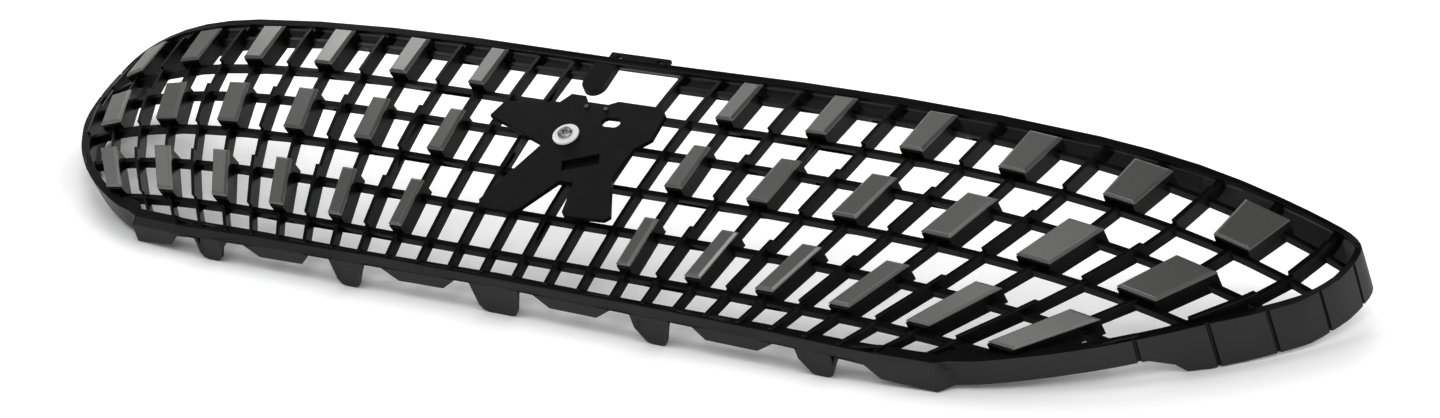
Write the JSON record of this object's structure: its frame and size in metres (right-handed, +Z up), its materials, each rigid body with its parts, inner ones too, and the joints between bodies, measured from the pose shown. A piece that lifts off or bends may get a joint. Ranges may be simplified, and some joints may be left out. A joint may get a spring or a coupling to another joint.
{
  "type": "front grille",
  "caption": "Car front grille: black lattice moulding with satin tile caps, a central emblem bracket held by a screw and washer, and fixing tabs on its rim.",
  "frame": {"origin": "centre of the footprint on the bench, as the grille lies on its back", "axes": "+X across the car towards the end at the viewer's right, +Y towards the rear of the resting part (the grille's upper edge), +Z up from the bench"},
  "size_m": [0.986, 0.2466, 0.123],
  "materials": {
    "black_abs": "moulded-in black ABS, semi-gloss",
    "bracket_black": "moulded-in black nylon, satin",
    "satin_grey": "plastic with satin dark-silver metallic paint",
    "white_nylon": "natural white nylon",
    "screw_steel": "zinc-plated steel"
  },
  "bodies": {
    "root": {"lattice_moulding": "black_abs", "emblem_bracket": "bracket_black", "bracket_washer": "white_nylon", "bracket_screw": "screw_steel", "tile_upper_left_1": "satin_grey", "tile_upper_left_2": "satin_grey", "tile_upper_left_3": "satin_grey", "tile_upper_left_4": "satin_grey", "tile_upper_left_5": "satin_grey", "tile_upper_left_6": "satin_grey", "tile_upper_right_1": "satin_grey", "tile_upper_right_2": "satin_grey", "tile_upper_right_3": "satin_grey", "tile_upper_right_4": "satin_grey", "tile_upper_right_5": "satin_grey", "tile_upper_right_6": "satin_grey", "tile_middle_left_1": "satin_grey", "tile_middle_left_2": "satin_grey", "tile_middle_left_3": "satin_grey", "tile_middle_left_4": "satin_grey", "tile_middle_left_5": "satin_grey", "tile_middle_left_6": "satin_grey", "tile_middle_right_1": "satin_grey", "tile_middle_right_2": "satin_grey", "tile_middle_right_3": "satin_grey", "tile_middle_right_4": "satin_grey", "tile_middle_right_5": "satin_grey", "tile_middle_right_6": "satin_grey", "tile_lower_left_1": "satin_grey", "tile_lower_left_2": "satin_grey", "tile_lower_left_3": "satin_grey", "tile_lower_left_4": "satin_grey", "tile_lower_left_5": "satin_grey", "tile_lower_left_6": "satin_grey", "tile_lower_right_1": "satin_grey", "tile_lower_right_2": "satin_grey", "tile_lower_right_3": "satin_grey", "tile_lower_right_4": "satin_grey", "tile_lower_right_5": "satin_grey", "tile_lower_right_6": "satin_grey"}
  },
  "joints": []
}
